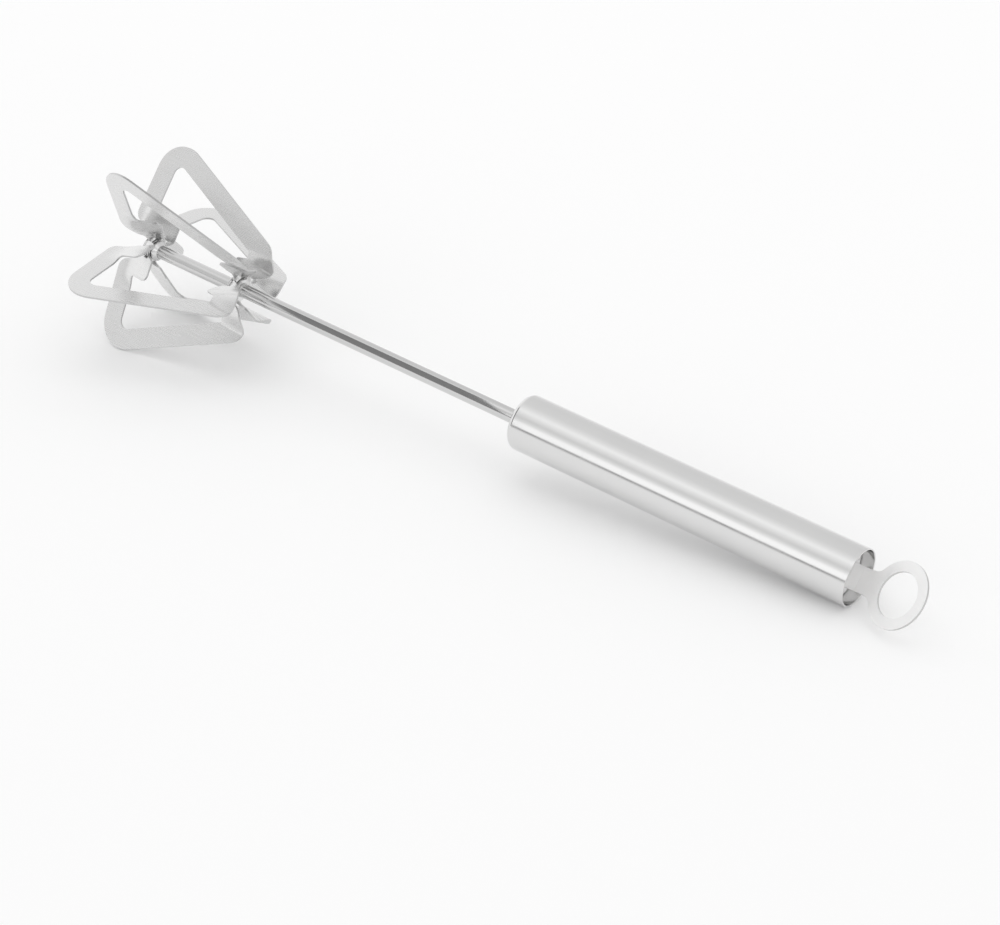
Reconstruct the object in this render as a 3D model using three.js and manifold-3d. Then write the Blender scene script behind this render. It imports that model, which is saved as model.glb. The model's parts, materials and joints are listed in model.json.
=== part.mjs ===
// A push-down rotary whisk, lying on a table on two of its blades and on the rear rim of its handle.
// Pressing the handle slides it over the hollow shaft, and a twisted strip in the handle turns the shaft.
// Millimetres, +Z up. The tool is built along its own +X axis, from the tip to the handle's rear,
// with x = 0 at the middle of the tip hub, and is then tilted so that it lies on the table.
import * as THREE from 'three';
import { mergeVertices } from 'three/addons/utils/BufferGeometryUtils.js';
import Module from 'manifold-3d';

// ---- Driving dimensions ----------------------------------------------------------------------
const GAP = 0.3; // clearance between pieces that touch or slide

const BLADE_THICK = 0.8;
const STRIP_WIDTH = 8.5; // sheet strip that makes the loop
const FOOT_X = -14.9; // outer edge of the loop beside the tip hub
const BASE_R = 6; // lower edge of the loop
const APEX_X = -10.8; // sharp outer corner, before it is rounded
const APEX_R = 49.3;
const APEX_ROUND = 12;
const END_R = 19.25; // height of the loop's rear end
const REAR_HUB_X = 46.9; // middle of the rear hub
const END_OVERHANG = 9.5; // how far the loop passes the rear hub
const TIP_STUB_HEIGHT = 7.5; // stubs of the cut-away lower strip
const TIP_STUB_REACH = 4.9;
const REAR_STUB_HEIGHT = 6.2;
const REAR_STUB_REACH = 8;
const TIP_NECK_WIDTH = 9.2;
const REAR_NECK_WIDTH = 7.4;
const HUB_NECK_WIDTH = 4.2;
const END_BAND = 11.9; // material between the opening and the loop's rear end
const END_ROUND_SHARE = 0.58; // rounding of the rear end, as a share of its height
const STUB_ROUND = 3;
const INNER_ROUND = 1.3;
const SMALL_ROUND = 0.6;
const NECK_OVERLAP = 1.2; // of the twisted neck into the loop
const TWIST_MARGIN = 0.2; // flat neck at each end of the twist
const HUB_RIM = 1.35; // width of the hub ring's band
const BLADE_PAIRS = 3;

const SHAFT_R = 2.75;
const SHAFT_WALL = 0.5;
const SHAFT_OUT = 141.6; // bare shaft between the rear hub and the handle
const COLLAR_WALL = 1.2;
const COLLAR_LENGTH = 2;
const RIVET_HEAD_R = 4.2;
const RIVET_HEAD = 1.4;
const RIVET_STEM = 9;
const TIP_WASHER = 0.6;

const HANDLE_R = 11;
const HANDLE_WALL = 0.6;
const HANDLE_LENGTH = 145;
const NOSE_ROUND = 2.4; // outer rounding of the front edge
const NOSE_HOLE_R = 5.8; // hole in the turned-in front of the handle tube
const BUSH_LENGTH = 18;
const STOP_WASHER = 2;

const STRIP_LEAD = 25; // press for one turn of the shaft; a full press is 50
const DRIVE_ROOM = 0.45; // from the strip's edges to the shaft's bore
const DRIVE_THICK = 0.9;
const DRIVE_TAIL_WIDTH = 6.5;
const DRIVE_TAIL = 8.5; // flat end that sits in the plug
const DRIVE_OVERLAP = 8; // strip past the nut's slot at rest
const DRIVE_GAP = 0.4; // strip's clearance in the nut's slot
const NUT_R = 6.5;
const NUT_SOCKET = 6;
const NUT_WEB = 4;
const THRUST_WASHER = 0.8;
const CUP_FLANGE = 2.4;
const SPIGOT_R = 5;
const SPIGOT = 5;
const CUP_BORE_R = 3;

const SPRING_R = 7; // to the middle of the wire
const SPRING_WIRE_R = 0.5;
const SPRING_TURNS = 13;
const SPRING_WASHER = 0.8;

const PLUG_RECESS = 5;
const PLUG_LENGTH = 12;
const PIN_R = 1;
const PIN_SETBACK = 6; // from the plug's rear face
const HANGER_ROLL = 48.6; // degrees about the tool's axis
const HANGER_BEND = 24;
const HANGER_THICK = 1;
const HANGER_OFFSET = 3.3; // stem's distance from the axis
const STEM_WIDTH = 9.4;
const STEM_DEPTH = 8.5; // of the stem in the plug
const CREASE_INSET = 0.6; // bend line ahead of the handle's rear rim
const RING_REACH = 19.1; // from the bend line to the ring's middle
const RING_R = 12.5;
const RING_HOLE_R = 8.45;
const RING_NECK_ROUND = 4;

// ---- Places along the axis -------------------------------------------------------------------
const HUB_PITCH = BLADE_THICK + GAP;
const HUB_STACK = BLADE_PAIRS * BLADE_THICK + (BLADE_PAIRS - 1) * GAP;
const HUB_HOLE_R = SHAFT_R + GAP;
const HUB_R = HUB_HOLE_R + HUB_RIM;
const END_X = REAR_HUB_X + END_OVERHANG;
const HANDLE_X = REAR_HUB_X + SHAFT_OUT;
const REAR_X = HANDLE_X + HANDLE_LENGTH;
const SLEEVE_R = HANDLE_R - HANDLE_WALL - GAP; // what fills the handle tube
const BUSH_END_X = HANDLE_X + BUSH_LENGTH;
const STOP_X = BUSH_END_X + GAP;
const NUT_X = STOP_X + STOP_WASHER + GAP;
const NUT_LENGTH = NUT_SOCKET + NUT_WEB;
const THRUST_X = NUT_X + NUT_LENGTH + GAP;
const CUP_X = THRUST_X + THRUST_WASHER + GAP;
const PLUG_END_X = REAR_X - PLUG_RECESS;
const PLUG_X = PLUG_END_X - PLUG_LENGTH;
const SPRING_WASHER_X = PLUG_X - GAP - SPRING_WASHER;
const SPRING_START_X = CUP_X + CUP_FLANGE + GAP;
const SPRING_END_X = SPRING_WASHER_X - GAP;
const TIP_WASHER_X = -HUB_STACK / 2 - GAP - TIP_WASHER;
const SHAFT_X = TIP_WASHER_X - GAP / 2;
const SHAFT_END_X = NUT_X + NUT_SOCKET - GAP;
const DRIVE_WIDTH = 2 * (SHAFT_R - SHAFT_WALL - DRIVE_ROOM);
const DRIVE_END_X = NUT_X + NUT_SOCKET - DRIVE_OVERLAP;
const PIN_X = PLUG_END_X - PIN_SETBACK;

// ---- Helpers ---------------------------------------------------------------------------------
const wasm = await Module();
wasm.setup();
const radians = THREE.MathUtils.degToRad;
const LATHE_STEPS = 32;

function toManifold(geometry) {
  const bare = geometry.clone();
  bare.deleteAttribute('normal');
  bare.deleteAttribute('uv');
  const merged = mergeVertices(bare, 1e-4);
  return new wasm.Manifold(new wasm.Mesh({
    numProp: 3,
    vertProperties: new Float32Array(merged.attributes.position.array),
    triVerts: new Uint32Array(merged.index.array),
  }));
}

function fromManifold(solid) {
  const mesh = solid.getMesh();
  const geometry = new THREE.BufferGeometry();
  geometry.setAttribute('position', new THREE.BufferAttribute(mesh.vertProperties, 3));
  geometry.setIndex(new THREE.BufferAttribute(mesh.triVerts, 1));
  return geometry;
}

function join(...geometries) {
  return fromManifold(geometries.map(toManifold).reduce((all, next) => all.add(next)));
}

function cut(geometry, ...tools) {
  const start = toManifold(geometry);
  return fromManifold(tools.map(toManifold).reduce((left, next) => left.subtract(next), start));
}

// Turns a profile of [x, radius] points about the X axis, with its outer side listed towards +X.
function turned(profile, steps = LATHE_STEPS) {
  const points = profile.map(([x, r]) => new THREE.Vector2(r, x));
  return new THREE.LatheGeometry(points, steps).rotateZ(-Math.PI / 2);
}

function tube(x0, x1, outer, inner, steps) {
  return turned([[x0, inner], [x0, outer], [x1, outer], [x1, inner], [x0, inner]], steps);
}

function box(x0, x1, width, height, z = 0) {
  return new THREE.BoxGeometry(x1 - x0, width, height).translate((x0 + x1) / 2, 0, z);
}

function arc(cx, cr, radius, from, to, steps = 5) {
  return Array.from({ length: steps + 1 }, (_, i) => {
    const angle = radians(from + ((to - from) * i) / steps);
    return [cx + radius * Math.cos(angle), cr + radius * Math.sin(angle)];
  });
}

// A shape from corners [x, y, fillet radius], each rounded by an arc.
function roundedShape(corners) {
  const shape = new THREE.Shape();
  corners.forEach(([x, y, fillet], i) => {
    const here = new THREE.Vector2(x, y);
    const [bx, by] = corners[(i + corners.length - 1) % corners.length];
    const [nx, ny] = corners[(i + 1) % corners.length];
    const back = new THREE.Vector2(bx, by).sub(here).normalize();
    const ahead = new THREE.Vector2(nx, ny).sub(here).normalize();
    const half = Math.acos(back.dot(ahead)) / 2;
    const start = back.clone().multiplyScalar(fillet / Math.tan(half)).add(here);
    const end = ahead.clone().multiplyScalar(fillet / Math.tan(half)).add(here);
    const middle = back.clone().add(ahead).normalize().multiplyScalar(fillet / Math.sin(half)).add(here);
    if (i === 0) shape.moveTo(start.x, start.y);
    else shape.lineTo(start.x, start.y);
    shape.absarc(middle.x, middle.y, fillet, start.sub(middle).angle(), end.sub(middle).angle(),
      back.cross(ahead) > 0);
  });
  shape.closePath();
  return shape;
}

// A plate of a shape drawn in X and Z, with its thickness centred on y = 0.
function plate(shape, thickness, curveSegments = 5) {
  const options = { depth: thickness, bevelEnabled: false, curveSegments };
  return new THREE.ExtrudeGeometry(shape, options).translate(0, 0, -thickness / 2).rotateX(Math.PI / 2);
}

// A rectangle's corners, u and v from its middle; u cross v is the way that a loft runs.
function section(middle, u, v) {
  return [[1, 1], [-1, 1], [-1, -1], [1, -1]].map(([a, b]) => middle.clone()
    .addScaledVector(u, a).addScaledVector(v, b));
}

// A closed prism through four-cornered sections.
function loft(sections) {
  const positions = sections.flat().flatMap((p) => [p.x, p.y, p.z]);
  const index = [0, 2, 1, 0, 3, 2];
  for (let s = 0; s + 1 < sections.length; s++) {
    for (let c = 0; c < 4; c++) {
      const a = 4 * s + c;
      const b = 4 * s + ((c + 1) % 4);
      index.push(a, b, b + 4, a, b + 4, a + 4);
    }
  }
  const top = 4 * (sections.length - 1);
  index.push(top, top + 1, top + 2, top, top + 2, top + 3);
  const geometry = new THREE.BufferGeometry();
  geometry.setAttribute('position', new THREE.Float32BufferAttribute(positions, 3));
  geometry.setIndex(index);
  return geometry;
}

// Where the line through a along u meets the line through b along v.
function meet(a, u, b, v) {
  const t = b.clone().sub(a).cross(v) / u.cross(v);
  return u.clone().multiplyScalar(t).add(a);
}

function lerp(a, b, t) {
  return a + (b - a) * t;
}

// ---- Blades ----------------------------------------------------------------------------------
// One loop in the X-Z plane: an open triangle of flat strip, whose lower side is cut away
// between two stubs so that it clears the shaft.
function loopShape() {
  const foot = new THREE.Vector2(FOOT_X, BASE_R);
  const apex = new THREE.Vector2(APEX_X, APEX_R);
  const end = new THREE.Vector2(END_X, END_R);
  const side = apex.clone().sub(foot).normalize();
  const back = end.clone().sub(apex).normalize();
  const sideInner = new THREE.Vector2(side.y, -side.x).multiplyScalar(STRIP_WIDTH).add(foot);
  const backInner = new THREE.Vector2(back.y, -back.x).multiplyScalar(STRIP_WIDTH).add(apex);
  const innerApex = meet(sideInner, side, backInner, back);
  const across = new THREE.Vector2(1, 0);
  const innerFoot = meet(sideInner, side, new THREE.Vector2(0, BASE_R + TIP_STUB_HEIGHT), across);
  const endRound = END_ROUND_SHARE * (END_R - BASE_R);
  const innerEndX = END_X - END_BAND;
  const innerEnd = meet(backInner, back, new THREE.Vector2(innerEndX, 0), new THREE.Vector2(0, 1));
  const rearStubTop = BASE_R + REAR_STUB_HEIGHT;
  return roundedShape([
    [END_X, END_R, endRound],
    [apex.x, apex.y, APEX_ROUND],
    [foot.x, foot.y, STRIP_WIDTH / 2],
    [TIP_NECK_WIDTH / 2, BASE_R, SMALL_ROUND],
    [TIP_STUB_REACH, BASE_R + TIP_STUB_HEIGHT, STUB_ROUND],
    [innerFoot.x, innerFoot.y, INNER_ROUND],
    [innerApex.x, innerApex.y, APEX_ROUND - STRIP_WIDTH],
    [innerEnd.x, innerEnd.y, INNER_ROUND],
    [innerEndX, rearStubTop, INNER_ROUND],
    [REAR_HUB_X - REAR_STUB_REACH, rearStubTop - INNER_ROUND, SMALL_ROUND],
    [REAR_HUB_X - REAR_NECK_WIDTH / 2, BASE_R, SMALL_ROUND],
    [END_X, BASE_R, endRound],
  ]);
}

// The short neck between a hub ring and a loop, twisted a quarter turn.
function neck(ringX, loopX, loopWidth) {
  const steps = 8;
  const top = BASE_R + NECK_OVERLAP;
  const bottom = HUB_R - HUB_RIM / 2;
  const twistStart = HUB_R + TWIST_MARGIN;
  const sections = Array.from({ length: steps + 1 }, (_, i) => {
    const r = lerp(bottom, top, i / steps);
    const t = THREE.MathUtils.smoothstep(r, twistStart, top - TWIST_MARGIN);
    const angle = (t * Math.PI) / 2;
    const width = lerp(HUB_NECK_WIDTH, loopWidth, t);
    const across = new THREE.Vector3(Math.sin(angle), Math.cos(angle), 0).multiplyScalar(width / 2);
    const through = new THREE.Vector3(Math.cos(angle), -Math.sin(angle), 0).multiplyScalar(BLADE_THICK / 2);
    return section(new THREE.Vector3(lerp(ringX, loopX, t), 0, r), through, across);
  });
  return loft(sections);
}

// Two opposite loops of one stamping with their two hub rings; layer is its place in the hub stack.
function doubleBladeGeometry(layer) {
  const offset = (layer - (BLADE_PAIRS - 1) / 2) * HUB_PITCH;
  const half = [
    plate(loopShape(), BLADE_THICK),
    neck(offset, 0, TIP_NECK_WIDTH),
    neck(REAR_HUB_X + offset, REAR_HUB_X, REAR_NECK_WIDTH),
  ];
  const rings = [0, REAR_HUB_X].map((x) => {
    const ringX = x + offset - BLADE_THICK / 2;
    return tube(ringX, ringX + BLADE_THICK, HUB_R, HUB_HOLE_R, 24);
  });
  return join(...half, ...half.map((piece) => piece.clone().rotateX(Math.PI)), ...rings);
}

// ---- Shaft and what turns with it ------------------------------------------------------------
function tipRivetGeometry() {
  const stemR = SHAFT_R - SHAFT_WALL - GAP;
  const faceX = SHAFT_X - GAP;
  const stemEndX = faceX + RIVET_STEM;
  const dome = arc(0, 0, 1, 180, 90, 6).map(([x, r]) => [faceX + x * RIVET_HEAD, r * RIVET_HEAD_R]);
  return turned([...dome, [faceX, stemR], [stemEndX, stemR], [stemEndX, 0]], 24);
}

// Seats the hub stack from the side that faces the other hub.
function hubCollarGeometry(x) {
  return tube(x, x + COLLAR_LENGTH, HUB_HOLE_R + COLLAR_WALL, HUB_HOLE_R, 24);
}

// The strip's width and thickness directions where it passes x.
function driveAxes(x) {
  const angle = ((x - PLUG_X) / STRIP_LEAD) * 2 * Math.PI;
  return [new THREE.Vector3(0, Math.cos(angle), Math.sin(angle)),
    new THREE.Vector3(0, -Math.sin(angle), Math.cos(angle))];
}

function twistedStrip(x0, x1, width, thickness) {
  const steps = Math.ceil((x1 - x0) / (STRIP_LEAD / 28));
  return loft(Array.from({ length: steps + 1 }, (_, i) => {
    const x = lerp(x0, x1, i / steps);
    const [u, v] = driveAxes(x);
    return section(new THREE.Vector3(x, 0, 0), u.multiplyScalar(width / 2), v.multiplyScalar(thickness / 2));
  }));
}

function pin(radius, length) {
  return new THREE.CylinderGeometry(radius, radius, length, 20).rotateX(Math.PI / 2).translate(PIN_X, 0, 0);
}

function pinBore() {
  return pin(PIN_R + GAP, 2 * HANDLE_R);
}

function driveStripGeometry() {
  const twisted = twistedStrip(DRIVE_END_X, PLUG_X, DRIVE_WIDTH, DRIVE_THICK);
  const tail = box(PLUG_X - SMALL_ROUND, PLUG_X + DRIVE_TAIL, DRIVE_TAIL_WIDTH, DRIVE_THICK);
  return cut(join(twisted, tail), pinBore());
}

function driveNutGeometry() {
  const socketR = SHAFT_R + GAP;
  const webX = NUT_X + NUT_SOCKET;
  const endX = NUT_X + NUT_LENGTH;
  const body = turned([[webX, 0], [webX, socketR], [NUT_X, socketR], [NUT_X, NUT_R - SMALL_ROUND],
    [NUT_X + SMALL_ROUND, NUT_R], [endX, NUT_R], [endX, 0]]);
  const slot = twistedStrip(webX - 1, endX + 1, DRIVE_WIDTH + 2 * DRIVE_GAP,
    DRIVE_THICK + 2 * DRIVE_GAP);
  return cut(body, slot);
}

function springCupGeometry() {
  const flangeEnd = CUP_X + CUP_FLANGE;
  const spigotEnd = flangeEnd + SPIGOT;
  return turned([[CUP_X, CUP_BORE_R], [CUP_X, SLEEVE_R], [flangeEnd, SLEEVE_R], [flangeEnd, SPIGOT_R],
    [spigotEnd, SPIGOT_R - SMALL_ROUND], [spigotEnd, CUP_BORE_R], [CUP_X, CUP_BORE_R]]);
}

// ---- Handle ----------------------------------------------------------------------------------
// A tube whose front edge is rounded and turned in around the bush's nose.
function handleTubeGeometry() {
  const roundX = HANDLE_X + NOSE_ROUND;
  const roundR = HANDLE_R - NOSE_ROUND;
  return turned([
    [HANDLE_X, NOSE_HOLE_R],
    ...arc(roundX, roundR, NOSE_ROUND, 180, 90, 6),
    [REAR_X, HANDLE_R],
    [REAR_X, HANDLE_R - HANDLE_WALL],
    ...arc(roundX, roundR, NOSE_ROUND - HANDLE_WALL, 90, 180),
    [HANDLE_X + HANDLE_WALL, NOSE_HOLE_R],
    [HANDLE_X, NOSE_HOLE_R],
  ], 56);
}

function noseBushGeometry() {
  const noseR = NOSE_HOLE_R - GAP;
  const faceX = HANDLE_X + HANDLE_WALL + GAP;
  const bevel = NOSE_ROUND - HANDLE_WALL;
  const boreR = SHAFT_R + GAP;
  return turned([
    [HANDLE_X, boreR],
    [HANDLE_X, noseR],
    [faceX, noseR],
    [faceX, SLEEVE_R - bevel],
    [faceX + bevel, SLEEVE_R],
    [BUSH_END_X, SLEEVE_R],
    [BUSH_END_X, boreR],
    [HANDLE_X, boreR],
  ]);
}

function endPlugGeometry() {
  const body = turned([[PLUG_X, 0], [PLUG_X, SLEEVE_R - SMALL_ROUND], [PLUG_X + SMALL_ROUND, SLEEVE_R],
    [PLUG_END_X - SMALL_ROUND, SLEEVE_R], [PLUG_END_X, SLEEVE_R - SMALL_ROUND], [PLUG_END_X, 0]], 48);
  const room = 2 * GAP;
  const tailSlot = box(PLUG_X - 1, PLUG_X + DRIVE_TAIL + GAP, DRIVE_TAIL_WIDTH + room, DRIVE_THICK + room);
  const stemSlot = box(PLUG_END_X - STEM_DEPTH - GAP, PLUG_END_X + 1, STEM_WIDTH + room,
    HANGER_THICK + room, -HANGER_OFFSET);
  return cut(body, tailSlot, stemSlot, pinBore());
}

// The hanger beyond its bend line, drawn flat: a stem that flows into a ring through two fillets.
function hangerShape() {
  const half = STEM_WIDTH / 2;
  const filletY = half + RING_NECK_ROUND;
  const filletX = RING_REACH - Math.sqrt((RING_R + RING_NECK_ROUND) ** 2 - filletY ** 2);
  const touch = Math.atan2(filletY, filletX - RING_REACH);
  const shape = new THREE.Shape();
  shape.moveTo(0, -half);
  shape.lineTo(filletX, -half);
  shape.absarc(filletX, -filletY, RING_NECK_ROUND, Math.PI / 2, Math.PI - touch, true);
  shape.absarc(RING_REACH, 0, RING_R, -touch, touch, false);
  shape.absarc(filletX, filletY, RING_NECK_ROUND, touch - Math.PI, -Math.PI / 2, true);
  shape.lineTo(0, half);
  shape.closePath();
  const hole = new THREE.Path();
  hole.absarc(RING_REACH, 0, RING_HOLE_R, 0, 2 * Math.PI, true);
  shape.holes.push(hole);
  return shape;
}

function hangerPlateGeometry() {
  const creaseX = REAR_X - CREASE_INSET;
  const stem = box(PLUG_END_X - STEM_DEPTH, creaseX, STEM_WIDTH, HANGER_THICK, -HANGER_OFFSET);
  const fold = new THREE.CylinderGeometry(HANGER_THICK / 2, HANGER_THICK / 2, STEM_WIDTH, 16)
    .translate(creaseX, 0, -HANGER_OFFSET);
  const options = { depth: HANGER_THICK, bevelEnabled: false, curveSegments: 24 };
  const ring = new THREE.ExtrudeGeometry(hangerShape(), options).translate(0, 0, -HANGER_THICK / 2)
    .rotateY(radians(-HANGER_BEND)).translate(creaseX, 0, -HANGER_OFFSET);
  return cut(join(stem, fold, ring), pinBore());
}

// The centre line of a spring along X, whose first and last turns are closed up.
class SpringCurve extends THREE.Curve {
  getPoint(t, target = new THREE.Vector3()) {
    const turn = SPRING_TURNS * t;
    const x0 = SPRING_START_X + SPRING_WIRE_R;
    const x1 = SPRING_END_X - SPRING_WIRE_R;
    const closedPitch = 2 * SPRING_WIRE_R + GAP;
    const fromStart = Math.min(turn, 1) * closedPitch;
    const fromEnd = Math.max(turn - SPRING_TURNS + 1, 0) * closedPitch;
    const open = THREE.MathUtils.clamp((turn - 1) / (SPRING_TURNS - 2), 0, 1);
    const angle = 2 * Math.PI * turn;
    return target.set(x0 + fromStart + fromEnd + open * (x1 - x0 - 2 * closedPitch),
      SPRING_R * Math.cos(angle), SPRING_R * Math.sin(angle));
  }
}

function returnSpringGeometry() {
  const wire = new THREE.Shape();
  wire.absarc(0, 0, SPRING_WIRE_R, 0, 2 * Math.PI, false);
  return new THREE.ExtrudeGeometry(wire, {
    steps: SPRING_TURNS * 12, curveSegments: 3, extrudePath: new SpringCurve(), bevelEnabled: false,
  });
}

// ---- Materials -------------------------------------------------------------------------------
function metal(name, color, roughness) {
  return () => new THREE.MeshStandardMaterial({ name, color, roughness, metalness: 1 });
}

function matte(name, color) {
  return () => new THREE.MeshStandardMaterial({ name, color, roughness: 0.55, metalness: 0 });
}

const sheetSteel = metal('sheet_steel', 0xc9c9c8, 0.3);
const brushedSteel = metal('brushed_steel', 0xcdccca, 0.35);
const brightSteel = metal('bright_steel', 0xb9b9b9, 0.15);
const springSteel = metal('spring_steel', 0x9a9a9c, 0.35);
const greyPlastic = matte('grey_plastic', 0xc8c8c6);
const whitePlastic = matte('white_plastic', 0xe9e9e4);
const blackRubber = matte('black_rubber', 0x2a2a2a);

// ---- Assembly --------------------------------------------------------------------------------
const tool = new THREE.Group();
const rearEnd = new THREE.Group(); // holds what is clocked with the hanger
rearEnd.rotation.x = radians(HANGER_ROLL);
tool.add(rearEnd);

function add(group, name, geometry, material) {
  const mesh = new THREE.Mesh(geometry, material());
  mesh.name = name;
  group.add(mesh);
  return mesh;
}

function addTurningParts() {
  for (let i = 0; i < BLADE_PAIRS; i++) {
    const blade = add(tool, `double_blade_${i + 1}`, doubleBladeGeometry(i), sheetSteel);
    blade.rotation.x = Math.PI / 2 - (i * Math.PI) / BLADE_PAIRS;
  }
  const tipWasher = tube(TIP_WASHER_X, TIP_WASHER_X + TIP_WASHER, HUB_R, HUB_HOLE_R, 24);
  const rearCollarX = REAR_HUB_X - HUB_STACK / 2 - GAP - COLLAR_LENGTH;
  add(tool, 'shaft_tube', tube(SHAFT_X, SHAFT_END_X, SHAFT_R, SHAFT_R - SHAFT_WALL, 24), brightSteel);
  add(tool, 'tip_rivet', tipRivetGeometry(), brightSteel);
  add(tool, 'tip_washer', tipWasher, brightSteel);
  add(tool, 'tip_hub_collar', hubCollarGeometry(HUB_STACK / 2 + GAP), brightSteel);
  add(tool, 'rear_hub_collar', hubCollarGeometry(rearCollarX), brightSteel);
  add(rearEnd, 'drive_nut', driveNutGeometry(), whitePlastic);
}

function addSpringSeat() {
  add(tool, 'thrust_washer', tube(THRUST_X, THRUST_X + THRUST_WASHER, NUT_R, CUP_BORE_R), brightSteel);
  add(tool, 'spring_cup', springCupGeometry(), whitePlastic);
}

function addHandle() {
  const stopWasher = tube(STOP_X, STOP_X + STOP_WASHER, NUT_R, SHAFT_R + GAP);
  const springWasher = tube(SPRING_WASHER_X, SPRING_WASHER_X + SPRING_WASHER, SPRING_R + 2 * SPRING_WIRE_R,
    DRIVE_TAIL_WIDTH / 2 + 2 * GAP);
  add(tool, 'handle_tube', handleTubeGeometry(), brushedSteel);
  add(tool, 'nose_bush', noseBushGeometry(), whitePlastic);
  add(tool, 'stop_washer', stopWasher, blackRubber);
  add(tool, 'return_spring', returnSpringGeometry(), springSteel);
  add(tool, 'rear_spring_washer', springWasher, brightSteel);
  add(rearEnd, 'drive_strip', driveStripGeometry(), brightSteel);
  add(rearEnd, 'end_plug', endPlugGeometry(), greyPlastic);
  add(rearEnd, 'anchor_pin', pin(PIN_R, 2 * (SLEEVE_R - SMALL_ROUND)), brightSteel);
  add(rearEnd, 'hanger_plate', hangerPlateGeometry(), sheetSteel);
}

// ---- Rest ------------------------------------------------------------------------------------
// The middle of the arc that rounds a loop's outer corner.
function apexArcMiddle() {
  const apex = new THREE.Vector2(APEX_X, APEX_R);
  const toFoot = new THREE.Vector2(FOOT_X, BASE_R).sub(apex).normalize();
  const toEnd = new THREE.Vector2(END_X, END_R).sub(apex).normalize();
  const half = Math.acos(toFoot.dot(toEnd)) / 2;
  return toFoot.add(toEnd).normalize().multiplyScalar(APEX_ROUND / Math.sin(half)).add(apex);
}

// The tilt at which the two lowest loops and the handle's rear rim are level.
function restTilt() {
  const spread = Math.PI / 2 / BLADE_PAIRS;
  const middle = apexArcMiddle();
  const edge = (BLADE_THICK / 2) * Math.sin(spread);
  const bladeDepth = (tilt) => {
    const down = Math.cos(spread) * Math.cos(tilt);
    const along = Math.sin(tilt);
    return middle.y * down + middle.x * along + APEX_ROUND * Math.hypot(down, along) + edge * Math.cos(tilt);
  };
  const rimDepth = (tilt) => HANDLE_R * Math.cos(tilt) + REAR_X * Math.sin(tilt);
  let low = 0;
  let high = Math.PI / 4;
  for (let i = 0; i < 50; i++) {
    const tilt = (low + high) / 2;
    if (bladeDepth(tilt) > rimDepth(tilt)) low = tilt;
    else high = tilt;
  }
  return low;
}

addTurningParts();
addSpringSeat();
addHandle();
tool.rotation.y = restTilt();

// The origin is under the middle of the whole tool, on the table.
const whisk = new THREE.Group();
whisk.name = 'whisk';
whisk.add(tool);
whisk.updateMatrixWorld(true);
const extent = new THREE.Box3().setFromObject(whisk, true);
const centre = extent.getCenter(new THREE.Vector3());
tool.position.set(-centre.x, -centre.y, -extent.min.z);

export default whisk;
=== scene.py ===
"""Looks for a push-down rotary whisk that lies on a table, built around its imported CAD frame.

Pieces are made in the tool's own frame, in millimetres: X runs along the shaft from the middle of the
tip hub to the handle's rear end, Y is the table's Y, and Z is up from the shaft. Places along the shaft
and radii are read from the CAD nodes, and each piece is put in the row frame by one matrix.
"""

import json
import math

import bmesh
import bpy
from mathutils import Matrix, Quaternion, Vector


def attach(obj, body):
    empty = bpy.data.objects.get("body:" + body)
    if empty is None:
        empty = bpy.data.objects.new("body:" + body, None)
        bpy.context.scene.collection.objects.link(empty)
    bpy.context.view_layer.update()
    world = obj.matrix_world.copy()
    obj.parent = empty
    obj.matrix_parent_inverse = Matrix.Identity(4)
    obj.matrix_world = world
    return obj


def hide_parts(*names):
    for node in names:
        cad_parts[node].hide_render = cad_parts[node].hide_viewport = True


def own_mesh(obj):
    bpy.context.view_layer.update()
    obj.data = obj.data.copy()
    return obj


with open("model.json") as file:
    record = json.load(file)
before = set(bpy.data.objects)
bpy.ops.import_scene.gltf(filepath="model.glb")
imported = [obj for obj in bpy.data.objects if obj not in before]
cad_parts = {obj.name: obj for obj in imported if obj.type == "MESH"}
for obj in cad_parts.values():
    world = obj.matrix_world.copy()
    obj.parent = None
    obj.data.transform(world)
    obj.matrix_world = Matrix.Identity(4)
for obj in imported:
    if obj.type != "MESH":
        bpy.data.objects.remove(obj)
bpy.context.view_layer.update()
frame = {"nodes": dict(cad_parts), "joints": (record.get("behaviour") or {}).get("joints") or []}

MM = 0.001

# ---- Sheet-metal dimensions, in mm ---------------------------------------------------------------
BLADE_THICK = 0.8
STRIP_WIDTH = 8.5
FOOT_X = -14.9
BASE_R = 6.0
APEX_X = -10.8
APEX_R = 49.3
APEX_ROUND = 12.0
END_R = 19.25
REAR_HUB_X = 46.9
END_OVERHANG = 9.5
TIP_STUB_HEIGHT = 7.5
TIP_STUB_REACH = 4.9
REAR_STUB_HEIGHT = 6.2
REAR_STUB_REACH = 8.0
TIP_NECK_WIDTH = 9.2
REAR_NECK_WIDTH = 7.4
END_BAND = 11.9
END_ROUND_SHARE = 0.58
STUB_ROUND = 3.0
INNER_ROUND = 1.3
SMALL_ROUND = 0.6
HUB_R = 4.4
HUB_HOLE_R = 2.85
HUB_PITCH = 1.1
COLLAR_LIP = 0.25  # wall of a collar at its thin end
COLLAR_SHOULDER = 0.35  # share of its length before the taper
BLADE_PAIRS = 3

FOOT_R = 9.6  # lower corner of the foot, from which the edge slopes to the neck
NECK_R = 5.2  # height at which the tip neck leaves the loop

# The stubs beside the necks are folded out of the loop's plane: degrees, where the fold starts and
# ends along the tool, and the radii between which it dies out.
TIP_FOLD = (19.0, -12.0, -6.0, 12.5, 19.0)
REAR_FOLD = (16.0, 33.0, 38.0, 9.0, 17.0)
FOLD_BORDER_X = 15.0
FOLD_TOP = 19.0

# Two loops stand a little out of true, in degrees about the shaft, by the stamping's number.
LEANS = {0: 4.5, 1: -6.0}
LEAN_TOP = 14.0

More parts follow.
